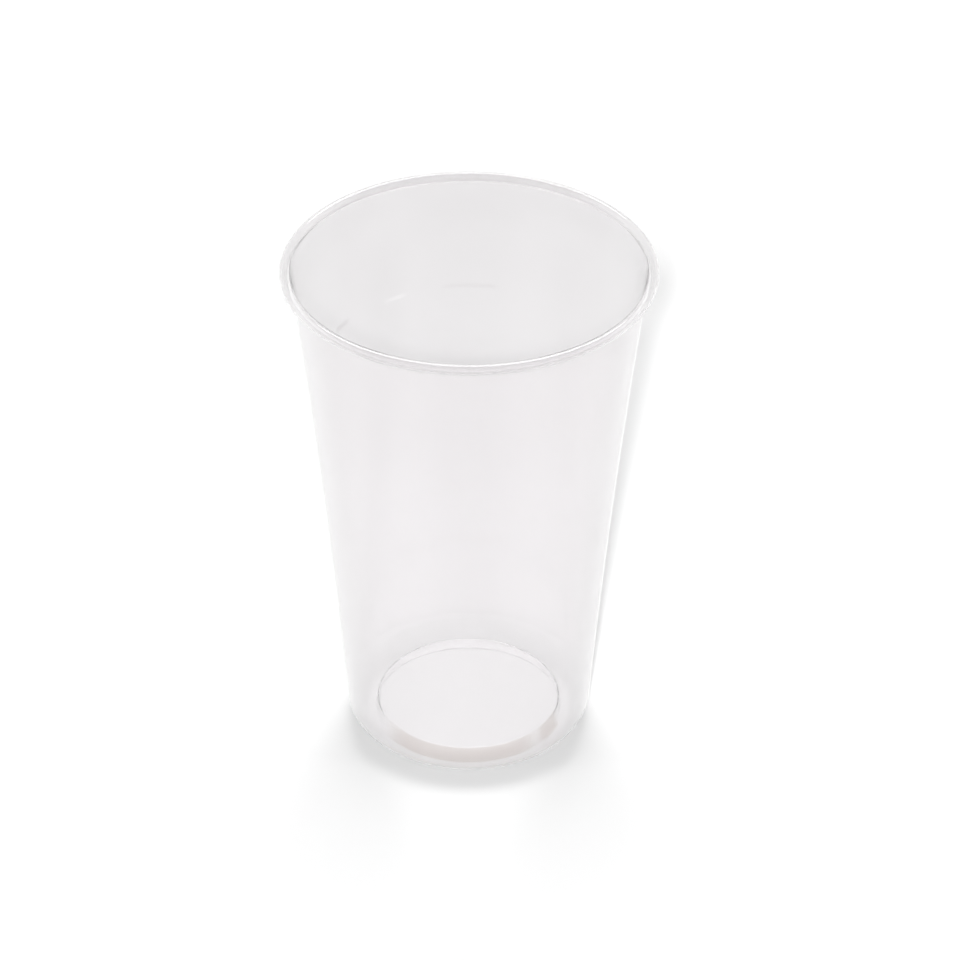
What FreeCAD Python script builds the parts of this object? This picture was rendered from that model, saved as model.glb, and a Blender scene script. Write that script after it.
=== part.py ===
import FreeCAD, Part
import math
import os

# Clear disposable drinking cup, formed from one sheet of plastic. Lengths are in millimetres.
# The cup stands on the plane z = 0, its axis is +Z, and the origin is the middle of its foot.

# Height from the table to the top of the lip
overall_height = 138.5

# Thickness of the formed sheet
sheet = 0.4

# Rolled lip: its outer diameter, which is the size that a lid fits over, the diameter of the roll
# across its section, and the gap left between the roll's free edge and the wall
lip_diameter = 95.0
lip_roll_diameter = 2.8
lip_edge_gap = 0.3

# Wall: the radius of its slight bow, hollow towards the outside, so that it flares near the lip
wall_bow_radius = 2500.0

# Foot: the outer diameter and the width of the flat ring that the cup stands on, and the radius
# of the rounded heel that joins it to the wall
foot_diameter = 52.0
foot_land_width = 0.9
heel_radius = 6.5

# Raised floor inside the foot: its height above the table, the lean of its riser from upright,
# and the radii of the bends below and above the riser, each taken on its outer side
floor_rise = 3.8
riser_lean_deg = 6.0
foot_bend_radius = 0.8
floor_bend_radius = 0.8


class Bend:
    """A round stretch of the sheet's middle line, seen in section from the axis outwards."""

    def __init__(self, centre, radius, turn, heading_in, heading_out):
        """turn is 1 to the left and -1 to the right; headings are degrees up from outwards."""
        self.centre = centre
        self.radius = radius
        self.turn = turn
        self.heading_in = heading_in
        self.heading_out = heading_out

    def point(self, heading, offset):
        """The point where the sheet has that heading, offset to the left of the middle line."""
        radius = self.radius - self.turn * offset
        angle = math.radians(heading - 90.0 * self.turn)
        along = FreeCAD.Vector(math.cos(angle), 0.0, math.sin(angle))
        return self.centre + along * radius

    def first(self, offset):
        """Where the stretch starts on the face at that offset."""
        return self.point(self.heading_in, offset)

    def last(self, offset):
        """Where the stretch ends on the face at that offset."""
        return self.point(self.heading_out, offset)

    def edge(self, offset):
        """The stretch as an edge of the face at that offset."""
        return self.arc(offset).toShape()

    def arc(self, offset):
        """The arc of a circle from the stretch's start to its end on the face at that offset."""
        middle = self.point(0.5 * (self.heading_in + self.heading_out), offset)
        return Part.Arc(self.first(offset), middle, self.last(offset))


class Bow(Bend):
    """A very flat bend, whose circle is many times larger than the cup."""

    def edge(self, offset):
        """The same arc written as a spline, which reaches no further than the arc itself."""
        return self.arc(offset).toNurbs().toShape()


def heading_of(vector):
    """The heading of a direction in the section plane, in degrees up from outwards."""
    return math.degrees(math.atan2(vector.z, vector.x))


def far_centre(heel_centre, heel_reach, roll_centre, roll_reach):
    """The point outside the cup that lies at the two reaches from the heel's and roll's centres."""
    span = roll_centre - heel_centre
    distance = span.Length
    along = (distance ** 2 + heel_reach ** 2 - roll_reach ** 2) / (2.0 * distance)
    aside = math.sqrt(heel_reach ** 2 - along ** 2)
    direction = FreeCAD.Vector(span).normalize()
    outwards = FreeCAD.Vector(direction.z, 0.0, -direction.x)
    return heel_centre + direction * along + outwards * aside


def foot_bends():
    """The bends from the raised floor down its riser to the flat ring, from the axis outwards."""
    down = riser_lean_deg - 90.0
    land_start = foot_diameter / 2.0 - foot_land_width
    low_radius = foot_bend_radius - sheet / 2.0
    low_centre = FreeCAD.Vector(land_start, 0.0, foot_bend_radius)
    foot_bend = Bend(low_centre, low_radius, 1, down, 0.0)

    high_radius = floor_bend_radius - sheet / 2.0
    high_z = floor_rise + sheet - floor_bend_radius
    riser_base = foot_bend.first(0.0)
    floor_bend = Bend(FreeCAD.Vector(0.0, 0.0, high_z), high_radius, -1, 0.0, down)
    # The bend slides along the floor until the riser's line, laid through both bends, is straight
    riser_top = floor_bend.last(0.0)
    lean = math.tan(math.radians(riser_lean_deg))
    floor_bend.centre.x = riser_base.x - riser_top.x - (riser_top.z - riser_base.z) * lean
    return floor_bend, foot_bend


def side_bends():
    """The heel, the bowed wall and the rolled lip, each tangent to the next."""
    heel_middle = heel_radius - sheet / 2.0
    heel_centre = FreeCAD.Vector(foot_diameter / 2.0, 0.0, heel_radius)
    roll_radius = lip_roll_diameter / 2.0
    roll_middle = roll_radius - sheet / 2.0
    roll_centre = FreeCAD.Vector(lip_diameter / 2.0 - roll_radius, 0.0, overall_height - roll_radius)

    # The wall bends away from the heel and the same way as the roll
    wall_centre = far_centre(
        heel_centre,
        wall_bow_radius + heel_middle,
        roll_centre,
        wall_bow_radius - roll_middle,
    )
    wall_start = heading_of(wall_centre - heel_centre) + 90.0
    wall_end = heading_of(wall_centre - roll_centre) + 90.0

    # The roll stops where its free edge still clears the wall by the gap
    closing = math.degrees(math.acos(1.0 - (sheet + lip_edge_gap) / roll_middle))
    roll_end = wall_end - (360.0 - closing)

    heel = Bend(heel_centre, heel_middle, 1, 0.0, wall_start)
    wall = Bow(wall_centre, wall_bow_radius, -1, wall_start, wall_end)
    roll = Bend(roll_centre, roll_middle, -1, wall_end, roll_end)
    return heel, wall, roll


def face_edges(bends, offset):
    """One face of the sheet in section: the bends' arcs, with lines where they stand apart."""
    at = FreeCAD.Vector(0.0, 0.0, bends[0].first(offset).z)
    edges = []
    for bend in bends:
        start = bend.first(offset)
        if start.distanceToPoint(at) > 1e-6:
            edges.append(Part.LineSegment(at, start).toShape())
        edges.append(bend.edge(offset))
        at = bend.last(offset)
    return edges


def cup_solid():
    """The sheet's section turned once round the axis."""
    bends = [*foot_bends(), *side_bends()]
    half = sheet / 2.0
    inside = face_edges(bends, half)
    outside = face_edges(bends, -half)
    free_edge = Part.LineSegment(bends[-1].last(half), bends[-1].last(-half)).toShape()
    floor_inside = FreeCAD.Vector(0.0, 0.0, bends[0].first(half).z)
    floor_outside = FreeCAD.Vector(0.0, 0.0, bends[0].first(-half).z)
    on_axis = Part.LineSegment(floor_outside, floor_inside).toShape()
    outline = Part.Wire(Part.__sortEdges__([*inside, free_edge, *outside, on_axis]))
    section = Part.Face(outline)
    turned = section.revolve(FreeCAD.Vector(0.0, 0.0, 0.0), FreeCAD.Vector(0.0, 0.0, 1.0), 360.0)
    return turned


def main():
    """Writes the cup and prints its size."""
    os.makedirs("parts", exist_ok=True)
    cup = cup_solid()
    cup.exportStep("parts/cup.step")
    box = cup.BoundBox
    print("cup", cup.ShapeType, "valid", cup.isValid(), "solids", len(cup.Solids))
    print("size", round(box.XLength, 3), round(box.YLength, 3), round(box.ZLength, 3))
    print("volume", round(cup.Volume, 1), "mm3")


main()
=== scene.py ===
"""Looks of a clear disposable cup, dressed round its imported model.

Lengths are in metres and +Z is up.
"""

import logging
import math
from dataclasses import dataclass
from enum import Enum, IntEnum

import bmesh
import bpy
from mathutils import Matrix, Vector


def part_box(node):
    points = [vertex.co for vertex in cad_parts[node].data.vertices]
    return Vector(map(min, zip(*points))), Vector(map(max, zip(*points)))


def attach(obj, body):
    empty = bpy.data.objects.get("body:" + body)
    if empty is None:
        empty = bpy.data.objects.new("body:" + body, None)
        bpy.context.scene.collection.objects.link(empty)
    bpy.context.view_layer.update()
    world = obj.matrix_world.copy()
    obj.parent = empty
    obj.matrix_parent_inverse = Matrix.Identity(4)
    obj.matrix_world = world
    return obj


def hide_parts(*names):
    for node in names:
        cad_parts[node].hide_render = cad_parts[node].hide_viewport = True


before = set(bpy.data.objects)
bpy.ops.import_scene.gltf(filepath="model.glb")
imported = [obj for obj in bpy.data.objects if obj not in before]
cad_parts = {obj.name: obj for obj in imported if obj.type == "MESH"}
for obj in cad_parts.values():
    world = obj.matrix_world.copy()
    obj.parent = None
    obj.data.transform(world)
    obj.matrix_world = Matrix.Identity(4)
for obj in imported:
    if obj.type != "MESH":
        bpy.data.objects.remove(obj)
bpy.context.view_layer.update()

logging.basicConfig(level=logging.INFO, format="%(message)s")
log = logging.getLogger("cup")

MM = 0.001
BODY = "root"
CUP_NODE = "cup"
CLOSE = 0.001 * MM
CLEAR_BOUNCES = 24
PASSING_BOUNCES = 48


class Turn(Enum):
    """Which way the sheet's middle line bends, seen in section from the axis outwards."""

    LEFT = 1
    RIGHT = -1


class Ray(Enum):
    """The kinds of ray that a material can tell apart."""

    CAMERA = "Is Camera Ray"
    GLOSSY = "Is Glossy Ray"
    TRANSMISSION = "Is Transmission Ray"
    SHADOW = "Is Shadow Ray"
    DIFFUSE = "Is Diffuse Ray"


SEEN = (Ray.CAMERA, Ray.GLOSSY, Ray.TRANSMISSION)


class Finish(IntEnum):
    """The cup's finishes, by their place among its materials."""

    SHEET = 0
    ROLL = 1
    CUT_EDGE = 2


class Wire:
    """An output socket of a node tree, with arithmetic that adds the Math nodes it needs."""

    def __init__(self, graph: "Graph", socket: bpy.types.NodeSocket) -> None:
        """Wraps a socket.

        Args:
            graph: the tree that the socket belongs to.
            socket: the output to wrap.
        """
        self.graph = graph
        self.socket = socket

    def __add__(self, other: "Wire | float") -> "Wire":
        """This wire plus other."""
        return self.graph.math("ADD", self, other)

    def __sub__(self, other: "Wire | float") -> "Wire":
        """This wire less other."""
        return self.graph.math("SUBTRACT", self, other)

    def __rsub__(self, other: float) -> "Wire":
        """A number less this wire."""
        return self.graph.math("SUBTRACT", other, self)

    def __mul__(self, other: "Wire | float") -> "Wire":
        """This wire times other."""
        return self.graph.math("MULTIPLY", self, other)

    __radd__ = __add__
    __rmul__ = __mul__


class Graph:
    """A node tree under construction, of a material, a world or a geometry modifier."""

    def __init__(self, tree: bpy.types.NodeTree) -> None:
        """Takes a tree and empties it.

        Args:
            tree: the tree to fill.
        """
        self.tree = tree
        tree.nodes.clear()

    def node(
        self, kind: str, settings: dict | None = None, values: dict | None = None
    ) -> bpy.types.Node:
        """Adds a node.

        Args:
            kind: the node's type name.
            settings: properties of the node, set before its sockets.
            values: input name or number to a wire, an output socket or a plain value.

        Returns:
            The new node.
        """
        made = self.tree.nodes.new(kind)
        for name, setting in (settings or {}).items():
            setattr(made, name, setting)
        for key, value in (values or {}).items():
            self.feed(made.inputs[key], value)
        return made

    def feed(self, socket: bpy.types.NodeSocket, value: object) -> None:
        """Links a wire or socket to an input, or sets the input to a plain value.

        Args:
            socket: the input.
            value: a wire, an output socket, or a plain value.
        """
        if isinstance(value, Wire):
            self.tree.links.new(value.socket, socket)
        elif isinstance(value, bpy.types.NodeSocket):
            self.tree.links.new(value, socket)
        else:
            socket.default_value = value

    def wire(
        self,
        kind: str,
        settings: dict | None = None,
        values: dict | None = None,
        out: int | str = 0,
    ) -> Wire:
        """Adds a node and gives one of its outputs as a wire.

        Args:
            kind: the node's type name.
            settings: properties of the node.
            values: what its inputs get.
            out: name or number of the output.

        Returns:
            The output as a wire.
        """
        return Wire(self, self.node(kind, settings, values).outputs[out])

    def math(self, operation: str, *values: "Wire | float") -> Wire:
        """Adds a Math node that clamps nothing and gives its result."""
        return self.wire("ShaderNodeMath", {"operation": operation}, dict(enumerate(values)))

    def blend(self, mask: "Wire | float", low: "Wire | tuple", high: "Wire | tuple") -> Wire:
        """Mixes two colours by a mask.

        Args:
            mask: 0 for low and 1 for high.
            low: a colour.
            high: another colour.

        Returns:
            The mixed colour.
        """
        made = self.node("ShaderNodeMix", {"data_type": "RGBA"})
        self.feed(made.inputs[0], mask)
        for number, colour in ((6, low), (7, high)):
            self.feed(made.inputs[number], colour if isinstance(colour, Wire) else (*colour, 1.0))
        return Wire(self, made.outputs[2])

    def step(self, value: Wire, low: float, high: float) -> Wire:
        """A smooth rise, 0 up to low and 1 from high on."""
        settings = {"interpolation_type": "SMOOTHSTEP"}
        values = {"Value": value, "From Min": low, "From Max": high}
        return self.wire("ShaderNodeMapRange", settings, values)

    def noise(self, place: Wire, scale: float, detail: float) -> Wire:
        """A soft random pattern, from 0 to 1."""
        values = {"Vector": place, "Scale": scale, "Detail": detail}
        return self.wire("ShaderNodeTexNoise", None, values)

    def bump(self, height: Wire, depth: float) -> Wire:
        """A normal that makes a pattern of heights look raised."""
        return self.wire("ShaderNodeBump", None, {"Height": height, "Distance": depth}, "Normal")

    def band(self, value: Wire, centre: float, full: float, faded: float) -> Wire:
        """A smooth hump, 1 up to full from the centre and 0 from faded on."""
        return 1.0 - self.step(self.math("ABSOLUTE", value - centre), full, faded)


@dataclass(frozen=True)
class Bend:
    """A round stretch of the sheet's middle line in section, as a circle and two headings."""

    centre: tuple[float, float]
    radius: float
    turn: Turn
    heading_in: float
    heading_out: float
    steps: int

    def point(self, heading: float, offset: float) -> tuple[float, float]:
        """Finds where the sheet has a heading.

        Args:
            heading: degrees up from outwards.
            offset: distance to the left of the middle line.

        Returns:
            Radius from the axis and height.
        """
        radius = self.radius - self.turn.value * offset
        angle = math.radians(heading - 90.0 * self.turn.value)
        return self.centre[0] + radius * math.cos(angle), self.centre[1] + radius * math.sin(angle)

    def points(self, offset: float) -> list[tuple[float, float]]:
        """Gives the stretch as evenly turned points.

        Args:
            offset: distance to the left of the middle line.

        Returns:
            Radius and height of each point, from the axis outwards.
        """
        sweep = self.heading_out - self.heading_in
        headings = [self.heading_in + sweep * step / self.steps for step in range(self.steps + 1)]
        return [self.point(heading, offset) for heading in headings]


@dataclass(frozen=True)
class SheetSection:
    """The cup's wall in section: raised floor, riser, foot, heel, bowed wall and rolled lip."""

    height: float
    lip_radius: float
    sheet: float = 0.4 * MM
    roll_radius: float = 1.4 * MM
    edge_gap: float = 0.3 * MM
    bow_radius: float = 2500.0 * MM
    foot_radius: float = 26.0 * MM
    land_width: float = 0.9 * MM
    heel_radius: float = 6.5 * MM
    floor_rise: float = 3.8 * MM
    riser_lean: float = 6.0
    small_bend: float = 0.8 * MM
    floor_rings: int = 4
    small_steps: int = 8
    heel_steps: int = 16
    wall_steps: int = 12
    roll_steps: int = 40

    def foot(self) -> tuple[Bend, Bend]:
        """The bends above and below the riser.

        Returns:
            The floor's bend and the foot's bend, from the axis outwards.
        """
        half = self.sheet / 2.0
        down = self.riser_lean - 90.0
        land_start = self.foot_radius - self.land_width
        reach = self.small_bend - half
        centre = (land_start, self.small_bend)
        foot = Bend(centre, reach, Turn.LEFT, down, 0.0, self.small_steps)
        base_r, base_z = foot.point(down, 0.0)
        high_z = self.floor_rise + self.sheet - self.small_bend
        lean = math.radians(self.riser_lean)
        top_z = high_z + reach * math.sin(lean)
        high_r = base_r - reach * math.cos(lean) - (top_z - base_z) * math.tan(lean)
        return Bend((high_r, high_z), reach, Turn.RIGHT, 0.0, down, self.small_steps), foot

    def side(self) -> tuple[Bend, Bend, Bend]:
        """The heel, the wall and the roll, each tangent to the next.

        Returns:
            The three bends, from the foot upwards.
        """
        half = self.sheet / 2.0
        heel = Vector((self.foot_radius, self.heel_radius))
        roll = Vector((self.lip_radius - self.roll_radius, self.height - self.roll_radius))
        heel_middle = self.heel_radius - half
        roll_middle = self.roll_radius - half
        heel_reach = self.bow_radius + heel_middle
        roll_reach = self.bow_radius - roll_middle
        span = roll - heel
        along = (span.length_squared + heel_reach**2 - roll_reach**2) / (2.0 * span.length)
        aside = math.sqrt(heel_reach**2 - along**2)
        way = span.normalized()
        bow = heel + way * along + Vector((way.y, -way.x)) * aside
        start = self._heading(bow - heel)
        end = self._heading(bow - roll)
        closing = math.degrees(math.acos(1.0 - (self.sheet + self.edge_gap) / roll_middle))
        last = end - 360.0 + closing
        return (
            Bend(tuple(heel), heel_middle, Turn.LEFT, 0.0, start, self.heel_steps),
            Bend(tuple(bow), self.bow_radius, Turn.RIGHT, start, end, self.wall_steps),
            Bend(tuple(roll), roll_middle, Turn.RIGHT, end, last, self.roll_steps),
        )

    def outline(self) -> list[tuple[float, float]]:
        """The whole section, from the axis along the inside, round the lip and back underneath.

        Returns:
            Radius and height of each point.
        """
        bends = [*self.foot(), *self.side()]
        half = self.sheet / 2.0
        inside = self._face(bends, half)
        outside = self._face(bends, -half)
        return inside + outside[::-1]

    def free_edge(self) -> tuple[float, float]:
        """The middle of the roll's free edge.

        Returns:
            Radius and height.
        """
        roll = self.side()[2]
        return roll.point(roll.heading_out, 0.0)

    def _face(self, bends: list[Bend], offset: float) -> list[tuple[float, float]]:
        """One face of the sheet, from the axis to the roll's free edge."""
        first_r, first_z = bends[0].point(bends[0].heading_in, offset)
        points = [(first_r * ring / self.floor_rings, first_z) for ring in range(self.floor_rings)]
        for bend in bends:
            fresh = bend.points(offset)
            if math.dist(points[-1], fresh[0]) < CLOSE:
                fresh = fresh[1:]
            points += fresh
        return points

    @staticmethod
    def _heading(way: Vector) -> float:
        """The heading of the sheet where the wall's centre lies that way."""
        return math.degrees(math.atan2(way.y, way.x)) + 90.0


class TurningTree:
    """A geometry tree that turns a section drawn in a plane into a closed shell."""

    SEGMENTS = "Segments"
    RADIUS = "Turning Radius"
    JOIN = "Join Distance"
    FINISH = "Finish"

    def __init__(self) -> None:
        """Builds the tree and its named inputs."""
        self.tree = bpy.data.node_groups.new("turned_sheet", "GeometryNodeTree")
        face = self.tree.interface
        face.new_socket("Geometry", in_out="OUTPUT", socket_type="NodeSocketGeometry")
        face.new_socket("Geometry", in_out="INPUT", socket_type="NodeSocketGeometry")
        face.new_socket(self.SEGMENTS, in_out="INPUT", socket_type="NodeSocketInt")
        face.new_socket(self.RADIUS, in_out="INPUT", socket_type="NodeSocketFloat")
        face.new_socket(self.JOIN, in_out="INPUT", socket_type="NodeSocketFloat")
        face.new_socket(self.FINISH, in_out="INPUT", socket_type="NodeSocketMaterial")
        graph = Graph(self.tree)
        given = graph.node("NodeGroupInput").outputs
        section = graph.wire("GeometryNodeMeshToCurve", None, {"Mesh": given["Geometry"]})
        circle_sizes = {"Resolution": given[self.SEGMENTS], "Radius": given[self.RADIUS]}
        circle = graph.wire("GeometryNodeCurvePrimitiveCircle", {"mode": "RADIUS"}, circle_sizes)
        upright = graph.wire("GeometryNodeSetCurveNormal", {"mode": "Z_UP"}, {"Curve": circle})
        swept = {"Curve": upright, "Profile Curve": section}
        shell = graph.wire("GeometryNodeCurveToMesh", None, swept)
        joins = {"Geometry": shell, "Distance": given[self.JOIN]}
        closed = graph.wire("GeometryNodeMergeByDistance", None, joins)
        real = graph.wire("GeometryNodeRealizeInstances", None, {"Geometry": closed})
        dress = {"Geometry": real, "Material": given[self.FINISH]}
        dressed = graph.wire("GeometryNodeSetMaterial", None, dress)
        graph.node("NodeGroupOutput", None, {"Geometry": dressed})

    def turn(self, name: str, outline: list, inputs: dict) -> bpy.types.Object:
        """Turns an outline once round the Z axis.

        Args:
            name: name of the piece.
            outline: radius and height of each point.
            inputs: values for the tree's named inputs.

        Returns:
            The piece, with a plain mesh and no modifier.
        """
        radius = inputs[self.RADIUS]
        # The turning circle's frame has its second axis pointing down
        corners = [(r - radius, -z, 0.0) for r, z in outline]
        edges = [(i, i + 1) for i in range(len(corners) - 1)]
        drawn = bpy.data.meshes.new(name + "_section")
        drawn.from_pydata(corners, edges, [])
        pattern = bpy.data.objects.new(name + "_section", drawn)
        bpy.context.scene.collection.objects.link(pattern)
        modifier = pattern.modifiers.new("turn", "NODES")
        modifier.node_group = self.tree
        for item in self.tree.interface.items_tree:
            if item.in_out == "INPUT" and item.name in inputs:
                modifier[item.identifier] = inputs[item.name]
        shown = pattern.evaluated_get(bpy.context.evaluated_depsgraph_get())
        mesh = bpy.data.meshes.new_from_object(shown)
        mesh.name = name
        piece = bpy.data.objects.new(name, mesh)
        bpy.context.scene.collection.objects.link(piece)
        bpy.data.objects.remove(pattern)
        bpy.data.meshes.remove(drawn)
        return piece


@dataclass(frozen=True)
class Scuff:
    """A short faint mark on the wall, placed by its bearing round from the front and its height."""

    bearing: float
    height: float
    length: float
    width: float
    lean: float
    tint: tuple[float, float, float]

    def mask(self, graph: Graph, bearing: Wire, out: Wire, up: Wire) -> Wire:
        """Shows where the mark is.

        Args:
            graph: the material's tree.
            bearing: degrees round from the front.
            out: distance from the axis.
            up: height above the table.

        Returns:
            1 in the middle of the mark, faded to 0 at its ends and edges.
        """
        turned = graph.math("WRAP", bearing - self.bearing, 180.0, -180.0)
        side = turned * out * math.radians(1.0)
        rise = up - self.height
        lean = math.radians(self.lean)
        along = side * math.cos(lean) + rise * math.sin(lean)
        across = rise * math.cos(lean) - side * math.sin(lean)
        lengthwise = graph.band(along, 0.0, self.length / 4.0, self.length / 2.0)
        return lengthwise * graph.band(across, 0.0, self.width / 4.0, self.width / 2.0)


@dataclass(frozen=True)
class ClearPlastic:
    """Thin clear sheet: glossy, slightly milky, with faint marks of how it was drawn."""

    name: str = "clear_plastic_sheet"
    thin_tint: tuple[float, float, float] = (0.937, 0.924, 0.932)
    thick_tint: tuple[float, float, float] = (0.91, 0.894, 0.903)
    top_tint: tuple[float, float, float] = (0.9, 0.884, 0.892)
    top_from: float = 88.0 * MM
    top_to: float = 118.0 * MM
    # Painted light: the base is coloured lighter to offset the shade under the cup and to stand in
    # for the heel's highlight.
    base_painted_light_tint: tuple[float, float, float] = (0.972, 0.965, 0.97)
    # Painted light: the left and right sides, seen from the front, are coloured lighter because
    # less light falls on them.
    side_painted_light_tint: tuple[float, float, float] = (0.955, 0.945, 0.95)
    side_from: float = 0.7
    side_to: float = 1.0
    # Painted shade: a dark brownish band on the riser, where shade falls in the hollow under the
    # raised floor.
    riser_painted_shade_tint: tuple[float, float, float] = (0.75, 0.688, 0.656)
    base_below: float = 5.0 * MM
    base_above: float = 8.0 * MM
    riser_inner: float = 24.2 * MM
    riser_outer: float = 25.4 * MM
    soft: float = 0.4 * MM
    # Arcs of painted shade on the riser: bearing of the middle, full half-width and faded
    # half-width, in degrees.
    riser_shade_arcs: tuple[tuple[float, float, float], ...] = ((-5.0, 35.0, 62.0), (61.0, 5.0, 15.0))
    scuffs: tuple[Scuff, ...] = (
        Scuff(-152.0, 106.0 * MM, 8.0 * MM, 1.6 * MM, -3.0, (0.945, 0.93, 0.938)),
        Scuff(-127.0, 105.0 * MM, 7.0 * MM, 2.0 * MM, -6.0, (0.865, 0.845, 0.855)),
        Scuff(180.0, 107.0 * MM, 19.0 * MM, 1.6 * MM, 0.0, (0.885, 0.865, 0.875)),
        Scuff(-2.5, 100.0 * MM, 14.0 * MM, 1.6 * MM, 0.0, (0.905, 0.885, 0.895)),
    )
    clearness: float = 0.92
    # Bends light less than the plastic's own 1.49, so that the base's bends draw no dark lines
    bending: float = 1.15
    gloss_ior: float = 1.49
    roughness: float = 0.03
    roughness_spread: float = 0.02
    haze_scale: float = 60.0
    haze_detail: float = 3.0
    streak_scale: float = 45.0
    streak_detail: float = 2.0
    streak_squash: float = 0.12
    ripple: float = 0.02 * MM
    passing: tuple[float, float, float] = (0.975, 0.972, 0.974)
    shade_facing: tuple[float, float, float] = (0.985, 0.985, 0.985)
    shade_edge: tuple[float, float, float] = (0.15, 0.15, 0.15)
    edge_from: float = 0.5
    edge_to: float = 0.78
    heel_inner: float = 26.5 * MM
    heel_outer: float = 28.5 * MM
    heel_from: float = 2.0 * MM
    heel_to: float = 9.0 * MM

    def build(self) -> bpy.types.Material:
        """Builds the material.

        Returns:
            The finished material.
        """
        material = bpy.data.materials.new(self.name)
        material.use_nodes = True
        graph = Graph(material.node_tree)
        place = graph.wire("ShaderNodeTexCoord", None, None, "Object")
        axes = graph.node("ShaderNodeSeparateXYZ", None, {"Vector": place}).outputs
        across, along, up = (Wire(graph, axes[axis]) for axis in "XYZ")
        out = graph.math("SQRT", across * across + along * along)
        bearing = graph.math("DEGREES", graph.math("ARCTAN2", across, -1.0 * along))
        marks = self._draw_marks(graph, place)
        haze = graph.noise(place, self.haze_scale, self.haze_detail)
        sheet = graph.wire(
            "ShaderNodeBsdfPrincipled",
            None,
            {
                "Base Color": self._tone(graph, marks, bearing, out, up),
                "Roughness": self.roughness + self.roughness_spread * haze,
                "IOR": self.bending,
                "Transmission Weight": self.clearness,
                "Coat Weight": 1.0,
                "Coat Roughness": self.roughness,
                "Coat IOR": self.gloss_ior,
                "Normal": graph.bump(marks, self.ripple),
            },
        )
        rays = graph.node("ShaderNodeLightPath").outputs
        shade = self._shade(graph, out, up)
        for kind, colour in ((Ray.DIFFUSE, (*self.passing, 1.0)), (Ray.SHADOW, shade)):
            clear = graph.wire("ShaderNodeBsdfTransparent", None, {"Color": colour})
            mixed = {0: rays[kind.value], 1: sheet, 2: clear}
            sheet = graph.wire("ShaderNodeMixShader", None, mixed)
        graph.node("ShaderNodeOutputMaterial", None, {"Surface": sheet})
        return material

    def _tone(self, graph: Graph, marks: Wire, bearing: Wire, out: Wire, up: Wire) -> Wire:
        """The sheet's colour: streaks, a darker top, painted light on its sides and base, painted
        shade on the riser, and scuffs.
        """
        tone = graph.blend(marks, self.thin_tint, self.thick_tint)
        tone = graph.blend(graph.step(up, self.top_from, self.top_to), tone, self.top_tint)
        # Painted light: the sheet's left and right sides are made lighter, where grazing light
        # leaves them dim.
        aside = graph.math("ABSOLUTE", graph.math("SINE", bearing * math.radians(1.0)))
        tone = graph.blend(graph.step(aside, self.side_from, self.side_to), tone, self.side_painted_light_tint)
        # Painted light: below 5 to 8 mm the sheet is made lighter, against the shade under the cup.
        base = 1.0 - graph.step(up, self.base_below, self.base_above)
        tone = graph.blend(base, tone, self.base_painted_light_tint)
        # Painted shade: the riser is darkened in arcs round the front and to the right.
        inner = graph.step(out, self.riser_inner - self.soft, self.riser_inner)
        outer = graph.step(out, self.riser_outer, self.riser_outer + self.soft)
        low = 1.0 - graph.step(up, self.base_below - self.soft, self.base_below + self.soft)
        shaded_arcs = sum(graph.band(bearing, *mark) for mark in self.riser_shade_arcs)
        riser = low * (inner - outer) * graph.math("MINIMUM", shaded_arcs, 1.0)
        tone = graph.blend(riser, tone, self.riser_painted_shade_tint)
        for scuff in self.scuffs:
            tone = graph.blend(scuff.mask(graph, bearing, out, up), tone, scuff.tint)
        return tone

    def _shade(self, graph: Graph, out: Wire, up: Wire) -> Wire:
        """How much light the sheet lets through: least at the heel and where light grazes it."""
        facing = graph.wire("ShaderNodeLayerWeight", None, {"Blend": 0.5}, "Facing")
        edge = graph.step(facing, self.edge_from, self.edge_to)
        ring = graph.step(out, self.heel_inner, self.heel_outer)
        low = 1.0 - graph.step(up, self.heel_from, self.heel_to)
        dense = graph.math("MINIMUM", edge + ring * low, 1.0)
        return graph.blend(dense, self.shade_facing, self.shade_edge)

    def _draw_marks(self, graph: Graph, place: Wire) -> Wire:
        """Soft streaks along the wall, where the sheet was drawn into its mould."""
        squash = {"Vector": place, "Scale": (1.0, 1.0, self.streak_squash)}
        stretched = graph.wire("ShaderNodeMapping", None, squash)
        return graph.noise(stretched, self.streak_scale, self.streak_detail)


@dataclass(frozen=True)
class TrimmedEdge:
    """The sheet's cut edge, left slightly rough and pale grey by the trimming blade."""

    colour: tuple[float, float, float] = (0.7, 0.69, 0.695)
    dull_colour: tuple[float, float, float] = (0.62, 0.61, 0.615)
    roughness: float = 0.55
    grain_scale: float = 900.0
    grain_detail: float = 2.0
    burr: float = 0.01 * MM

    def build(self) -> bpy.types.Material:
        """Builds the material.

        Returns:
            The finished material.
        """
        material = bpy.data.materials.new("trimmed_sheet_edge")
        material.use_nodes = True
        graph = Graph(material.node_tree)
        place = graph.wire("ShaderNodeTexCoord", None, None, "Object")
        grain = graph.noise(place, self.grain_scale, self.grain_detail)
        cut = graph.wire(
            "ShaderNodeBsdfPrincipled",
            None,
            {
                "Base Color": graph.blend(grain, self.dull_colour, self.colour),
                "Roughness": self.roughness,
                "Normal": graph.bump(grain, self.burr),
            },
        )
        graph.node("ShaderNodeOutputMaterial", None, {"Surface": cut})
        return material


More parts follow.
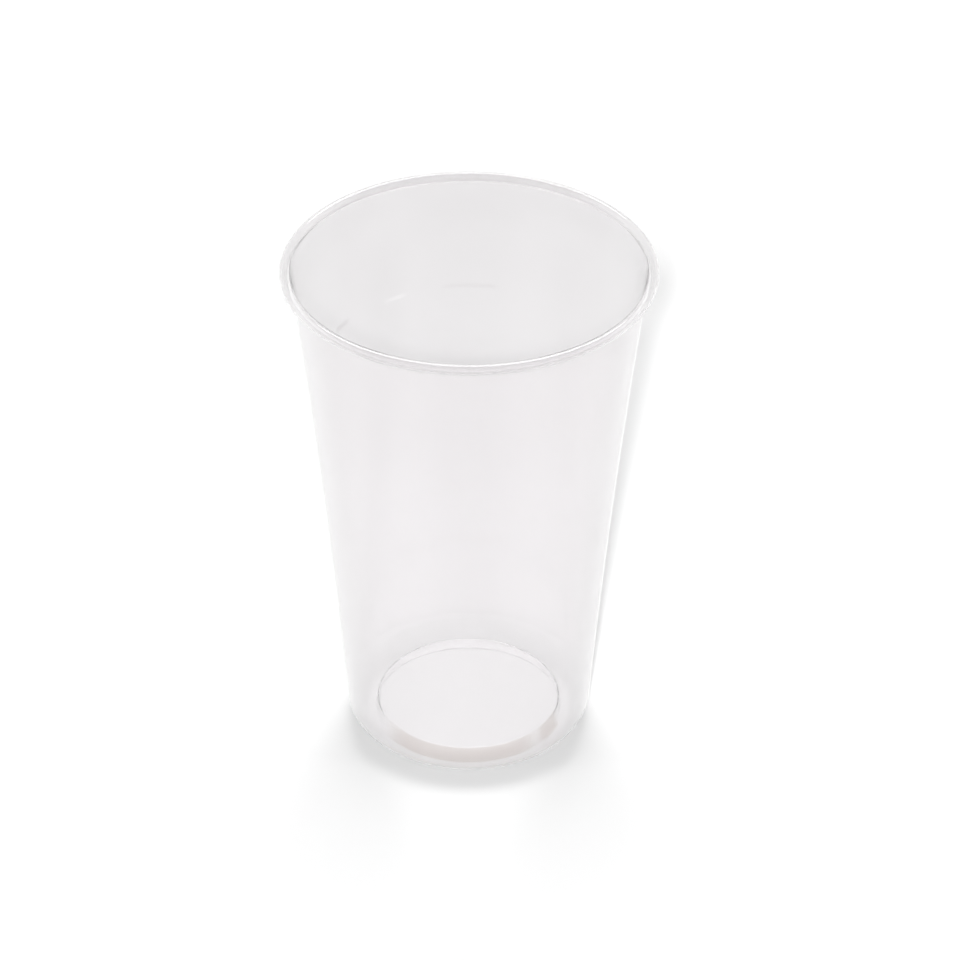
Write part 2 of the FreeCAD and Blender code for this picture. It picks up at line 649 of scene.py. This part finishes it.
@dataclass
class Cup:
    """The cup: one turned sheet in one piece."""

    section: SheetSection
    finish: ClearPlastic = ClearPlastic()
    bent_finish: ClearPlastic = ClearPlastic(
        name="clear_plastic_bends",
        top_tint=(0.9, 0.89, 0.895),
        # Painted light: the roll's left and right sides are coloured lighter still, standing in for
        # a broad reflection.
        side_painted_light_tint=(1.0, 0.99, 0.995),
        side_from=0.5,
        side_to=0.95,
        scuffs=(),
        clearness=0.82,
        shade_facing=(0.45, 0.45, 0.45),
        shade_edge=(0.25, 0.25, 0.25),
    )
    edge_finish: TrimmedEdge = TrimmedEdge()
    segments: int = 512
    sharp_angle: float = 50.0

    def build(self) -> bpy.types.Object:
        """Builds and dresses the cup.

        Returns:
            The cup's piece.
        """
        inputs = {
            TurningTree.SEGMENTS: self.segments,
            TurningTree.RADIUS: self.section.foot_radius,
            TurningTree.JOIN: CLOSE,
            TurningTree.FINISH: self.finish.build(),
        }
        piece = TurningTree().turn("clear_cup", self.section.outline(), inputs)
        self._face_out(piece.data)
        piece.data.set_sharp_from_angle(angle=math.radians(self.sharp_angle))
        self._dress_bends(piece.data)
        return piece

    def _dress_bends(self, mesh: bpy.types.Mesh) -> None:
        """Gives the roll, which turns milky, and its free edge their own finishes."""
        for finish in (self.bent_finish, self.edge_finish):
            mesh.materials.append(finish.build())
        roll = Vector(self.section.side()[2].centre)
        edge = Vector(self.section.free_edge())
        for face in mesh.polygons:
            middle = Vector((math.hypot(face.center.x, face.center.y), face.center.z))
            if (middle - edge).length < self.section.sheet / 8.0:
                face.material_index = Finish.CUT_EDGE
            elif (middle - roll).length < self.section.roll_radius:
                face.material_index = Finish.ROLL

    @staticmethod
    def _face_out(mesh: bpy.types.Mesh) -> None:
        """Points every face of a closed shell outwards and shades it smooth."""
        shell = bmesh.new()
        shell.from_mesh(mesh)
        bmesh.ops.recalc_face_normals(shell, faces=shell.faces)
        for face in shell.faces:
            face.smooth = True
        shell.to_mesh(mesh)
        shell.free()


@dataclass(frozen=True)
class PaleFloor:
    """White table, shown white to the camera and in reflections, with the cup's shadow on it;
    through clear things it mostly shows an even painted grey shade.
    """

    colour: tuple[float, float, float] = (0.9, 0.9, 0.9)
    lift: float = 0.06
    # Painted shade: the even grey glow that clear things show of the floor, in place of its lit
    # white.
    painted_backing_shade: float = 0.8
    backing_share: float = 0.85
    reach: float = 6.0
    corners: int = 64

    def build(self) -> bpy.types.Object:
        """Builds the floor.

        Returns:
            The floor's object.
        """
        mesh = bpy.data.meshes.new("floor")
        ring = [
            (self.reach * math.cos(a), self.reach * math.sin(a), 0.0)
            for a in (math.tau * i / self.corners for i in range(self.corners))
        ]
        mesh.from_pydata(ring, [], [tuple(range(self.corners))])
        mesh.materials.append(self._material())
        floor = bpy.data.objects.new("floor", mesh)
        bpy.context.scene.collection.objects.link(floor)
        return floor

    def _material(self) -> bpy.types.Material:
        """The floor's material."""
        material = bpy.data.materials.new("pale_floor")
        material.use_nodes = True
        graph = Graph(material.node_tree)
        lit = graph.wire("ShaderNodeBsdfDiffuse", None, {"Color": (*self.colour, 1.0)})
        seen = ray_mask(graph, SEEN)
        glow = graph.wire("ShaderNodeEmission", None, {"Strength": seen * self.lift})
        both = graph.wire("ShaderNodeAddShader", None, {0: lit, 1: glow})
        # Painted shade: through clear plastic the floor mostly shows this even grey glow.
        shaded_backing = graph.wire("ShaderNodeEmission", None, {"Strength": self.painted_backing_shade})
        share = self.backing_share * ray_mask(graph, (Ray.TRANSMISSION,))
        floor = graph.wire("ShaderNodeMixShader", None, {0: share, 1: both, 2: shaded_backing})
        graph.node("ShaderNodeOutputMaterial", None, {"Surface": floor})
        return material


def ray_mask(graph: Graph, kinds: tuple[Ray, ...]) -> Wire:
    """A mask of some kinds of ray.

    Args:
        graph: the tree to add it to.
        kinds: the kinds.

    Returns:
        1 on such a ray and 0 on others.
    """
    rays = graph.node("ShaderNodeLightPath").outputs
    total = Wire(graph, rays[kinds[0].value])
    for kind in kinds[1:]:
        total = total + Wire(graph, rays[kind.value])
    return graph.math("MINIMUM", total, 1.0)


@dataclass(frozen=True)
class SunLamp:
    """An even lamp from one direction, set by how bright it makes a white floor.

    A lamp that lights shows in no reflection. One that doesn't light is there for its glint.
    """

    name: str
    azimuth: float
    elevation: float
    spread: float
    level: float
    lights: bool = True

    def build(self) -> bpy.types.Object:
        """Builds the lamp.

        Returns:
            The lamp's object.
        """
        lamp = bpy.data.lights.new(self.name, "SUN")
        lamp.energy = self.level * math.pi / math.sin(math.radians(self.elevation))
        lamp.angle = math.radians(self.spread)
        made = bpy.data.objects.new(self.name, lamp)
        a = math.radians(self.azimuth)
        e = math.radians(self.elevation)
        away = Vector((math.sin(a) * math.cos(e), -math.cos(a) * math.cos(e), math.sin(e)))
        made.rotation_euler = away.to_track_quat("Z", "Y").to_euler()
        made.location = away
        made.visible_diffuse = self.lights
        made.visible_glossy = not self.lights
        made.visible_transmission = False
        bpy.context.scene.collection.objects.link(made)
        return made


@dataclass(frozen=True)
class Room:
    """What surrounds the table: plain white, and dimmer as a light than as a sight."""

    colour: tuple[float, float, float] = (1.0, 1.0, 1.0)
    light: float = 0.128

    def build(self) -> bpy.types.World:
        """Builds the world.

        Returns:
            The world.
        """
        world = bpy.data.worlds.new("room")
        world.use_nodes = True
        graph = Graph(world.node_tree)
        strength = ray_mask(graph, SEEN) * (1.0 - self.light) + self.light
        shades = {"Color": (*self.colour, 1.0), "Strength": strength}
        shine = graph.wire("ShaderNodeBackground", None, shades)
        graph.node("ShaderNodeOutputWorld", None, {"Surface": shine})
        bpy.context.scene.world = world
        return world


@dataclass(frozen=True)
class PhotoCamera:
    """The photograph's viewpoint."""

    aim: tuple[float, float, float] = (2.9 * MM, 0.0, 73.3 * MM)
    distance: float = 1032.0 * MM
    elevation: float = 34.55
    yaw: float = 0.2
    roll: float = 0.2
    lens: float = 149.4
    sensor: float = 36.0
    near: float = 0.05
    far: float = 50.0

    def build(self) -> bpy.types.Object:
        """Builds the camera and makes it the scene's own.

        Returns:
            The camera's object.
        """
        data = bpy.data.cameras.new("camera")
        data.lens = self.lens
        data.sensor_width = self.sensor
        data.clip_start = self.near
        data.clip_end = self.far
        camera = bpy.data.objects.new("camera", data)
        yaw = math.radians(self.yaw)
        pitch = math.radians(self.elevation)
        flat = Vector((math.sin(yaw), math.cos(yaw), 0.0))
        ahead = flat * math.cos(pitch) - Vector((0.0, 0.0, math.sin(pitch)))
        level = Vector((math.cos(yaw), -math.sin(yaw), 0.0))
        upright = level.cross(ahead)
        roll = math.radians(self.roll)
        right = level * math.cos(roll) + upright * math.sin(roll)
        up = upright * math.cos(roll) - level * math.sin(roll)
        place = Matrix.Translation(Vector(self.aim) - ahead * self.distance)
        camera.matrix_world = place @ Matrix((right, up, -ahead)).transposed().to_4x4()
        bpy.context.scene.collection.objects.link(camera)
        bpy.context.scene.camera = camera
        return camera


@dataclass(frozen=True)
class Studio:
    """The table, the room and the lamps."""

    floor: PaleFloor = PaleFloor()
    room: Room = Room()
    suns: tuple[SunLamp, ...] = (
        SunLamp("glint", 178.0, 58.0, 40.0, 0.45, lights=False),
        SunLamp("back", 178.0, 53.0, 30.0, 0.42),
        SunLamp("key", -4.2, 32.0, 2.8, 0.4),
        SunLamp("second key", 3.2, 32.0, 2.0, 0.15),
        SunLamp("left", -80.0, 4.0, 7.0, 0.025),
        SunLamp("right", 80.0, 4.0, 7.0, 0.025),
    )

    def build(self) -> None:
        """Builds everything that isn't the object."""
        self.floor.build()
        self.room.build()
        for sun in self.suns:
            sun.build()


def main() -> None:
    """Builds the cup, the studio and the camera."""
    low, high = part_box(CUP_NODE)
    section = SheetSection(height=high.z - low.z, lip_radius=high.x)
    cup = Cup(section).build()
    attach(cup, BODY)
    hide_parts(CUP_NODE)
    log.info("%s: %d faces", cup.name, len(cup.data.polygons))

    Studio().build()
    PhotoCamera().build()
    view = bpy.context.scene.view_settings
    view.view_transform = "Standard"
    paths = bpy.context.scene.cycles
    paths.max_bounces = CLEAR_BOUNCES
    paths.transmission_bounces = CLEAR_BOUNCES
    paths.transparent_max_bounces = PASSING_BOUNCES


if __name__ == "__main__":
    main()
